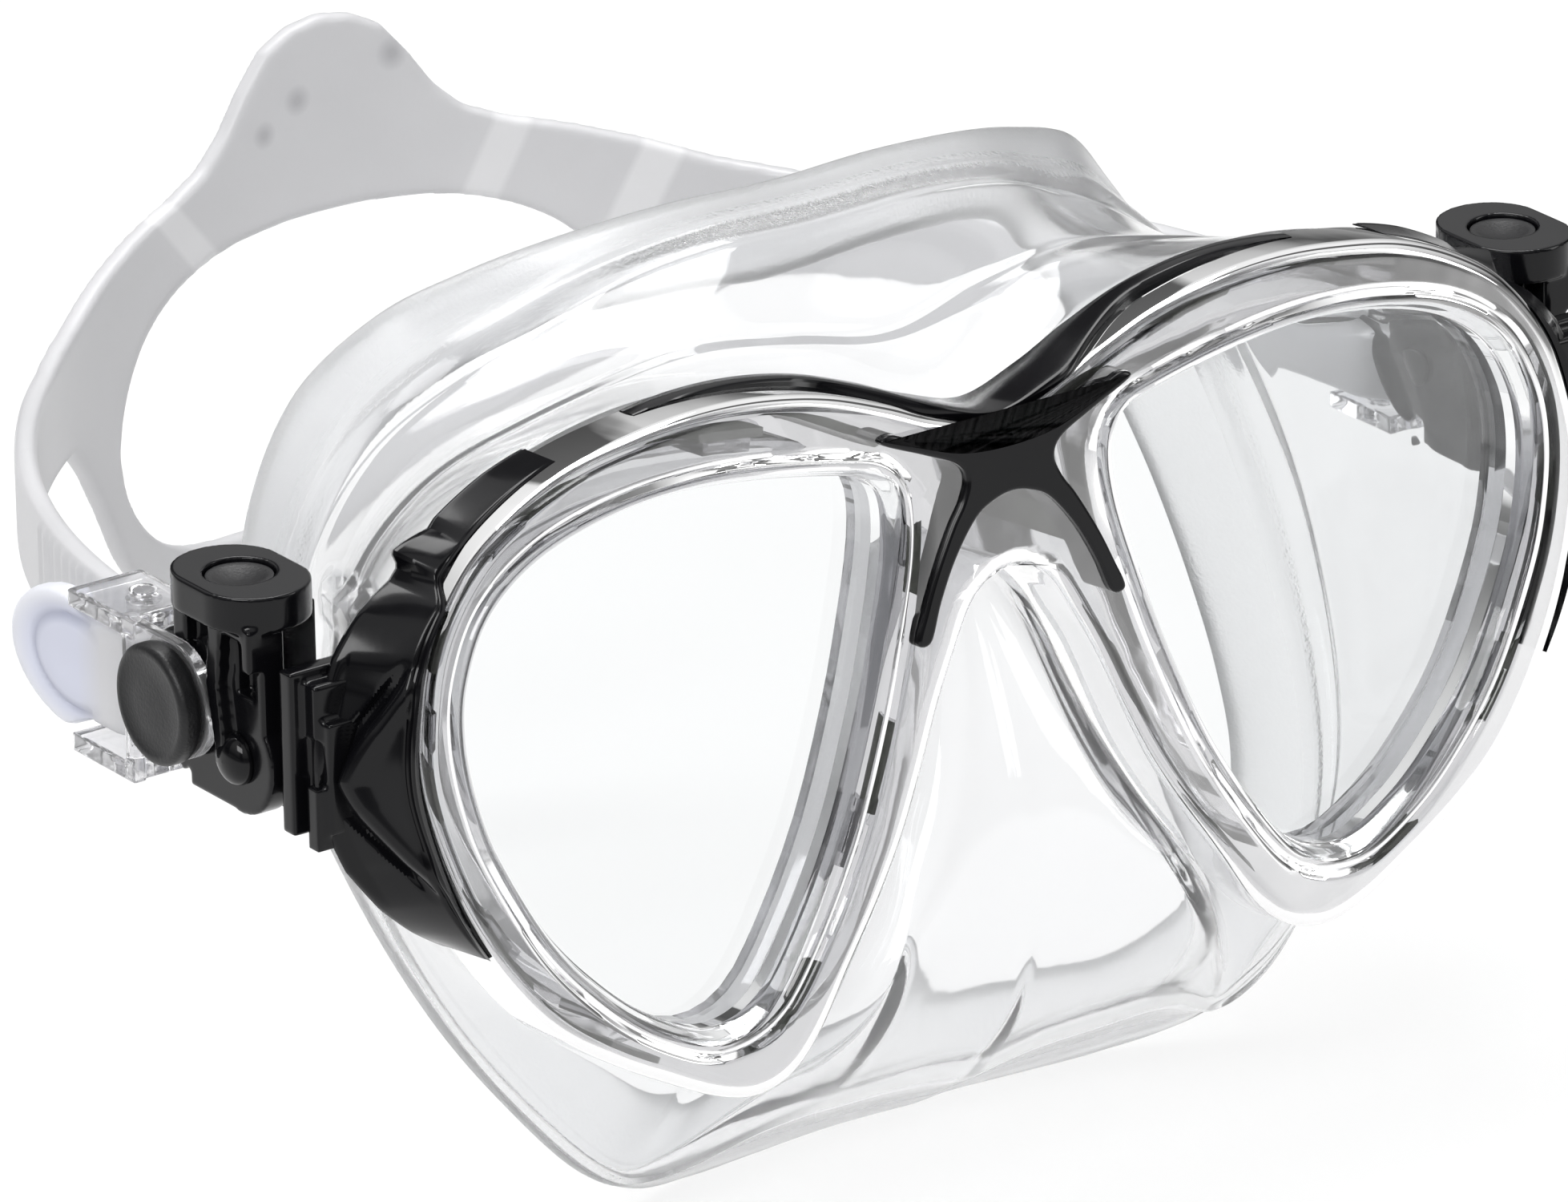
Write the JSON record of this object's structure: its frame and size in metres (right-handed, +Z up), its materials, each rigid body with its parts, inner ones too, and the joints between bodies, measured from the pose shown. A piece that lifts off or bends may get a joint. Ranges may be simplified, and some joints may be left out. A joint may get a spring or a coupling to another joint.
{
  "type": "diving mask",
  "caption": "Diving mask: clear frame with two drop-shaped lenses, soft skirt with nose pocket, tilting buckles and split rubber strap.",
  "frame": {"origin": "on the ground under the middle of the mask, which stands on its skirt", "axes": "+X to the wearer's left, -Y the way the lenses face, +Z up"},
  "size_m": [0.1838, 0.1393, 0.104],
  "materials": {
    "clear_frame": "clear polycarbonate, polished",
    "lens_glass": "clear tempered glass",
    "black_gloss": "glossy black moulded plastic",
    "black_satin": "fine-textured black moulded plastic",
    "skirt_silicone": "clear silicone, glossy walls and a satin seal",
    "strap_silicone": "translucent grey silicone with lighter bands",
    "clear_cage": "clear moulded plastic",
    "steel": "stainless steel"
  },
  "bodies": {
    "mask": {"front_frame": "clear_frame", "lens_right": "lens_glass", "lens_left": "lens_glass", "retainer_right": "clear_frame", "retainer_left": "clear_frame", "bridge_insert": "black_gloss", "brow_insert": "black_gloss", "arm_right": "black_gloss", "arm_left": "black_gloss", "skirt": "skirt_silicone", "neck_pin_right": "black_gloss", "neck_pin_left": "black_gloss"},
    "buckle_right": {"buckle_right": "black_gloss", "button_spring_right": "steel"},
    "buckle_left": {"buckle_left": "black_gloss", "button_spring_left": "steel"},
    "strap_group": {"strap": "strap_silicone", "cage_right": "clear_cage", "cage_left": "clear_cage", "pivot_cap_right": "black_satin", "pivot_cap_left": "black_satin"},
    "roller_right": {"roller_right": "steel"},
    "roller_left": {"roller_left": "steel"},
    "release_button_right": {"release_button_right": "black_satin"},
    "release_button_left": {"release_button_left": "black_satin"}
  },
  "joints": [
    {"name": "buckle_tilt_right", "type": "hinge", "parent": "mask", "child": "buckle_right", "pos_m": [-0.0815, -0.04465, 0.066], "axis": [1, 0, 0], "range_deg": [-25, 10]},
    {"name": "buckle_tilt_left", "type": "hinge", "parent": "mask", "child": "buckle_left", "pos_m": [0.0815, -0.04465, 0.066], "axis": [1, 0, 0], "range_deg": [-25, 10]},
    {"name": "strap_swing", "type": "hinge", "parent": "buckle_right", "child": "strap_group", "pos_m": [-0.0815, -0.03515, 0.07], "axis": [1, 0, 0], "range_deg": [-20, 25]},
    {"name": "release_right", "type": "slide", "parent": "buckle_right", "child": "release_button_right", "axis": [0, 0, -1], "range_m": [0, 0.0012], "stiffness_N_per_m": 400, "springref_m": -0.001, "deforming": ["button_spring_right"]},
    {"name": "release_left", "type": "slide", "parent": "buckle_left", "child": "release_button_left", "axis": [0, 0, -1], "range_m": [0, 0.0012], "stiffness_N_per_m": 400, "springref_m": -0.001, "deforming": ["button_spring_left"]},
    {"name": "roller_turn_right", "type": "hinge", "parent": "strap_group", "child": "roller_right", "pos_m": [-0.0826, -0.02065, 0.067], "axis": [0, 0, 1], "continuous": true},
    {"name": "roller_turn_left", "type": "hinge", "parent": "strap_group", "child": "roller_left", "pos_m": [0.0826, -0.02065, 0.067], "axis": [0, 0, 1], "continuous": true}
  ],
  "couplings": [
    {"joint": "buckle_tilt_left", "follows": "buckle_tilt_right", "ratio": 1}
  ]
}
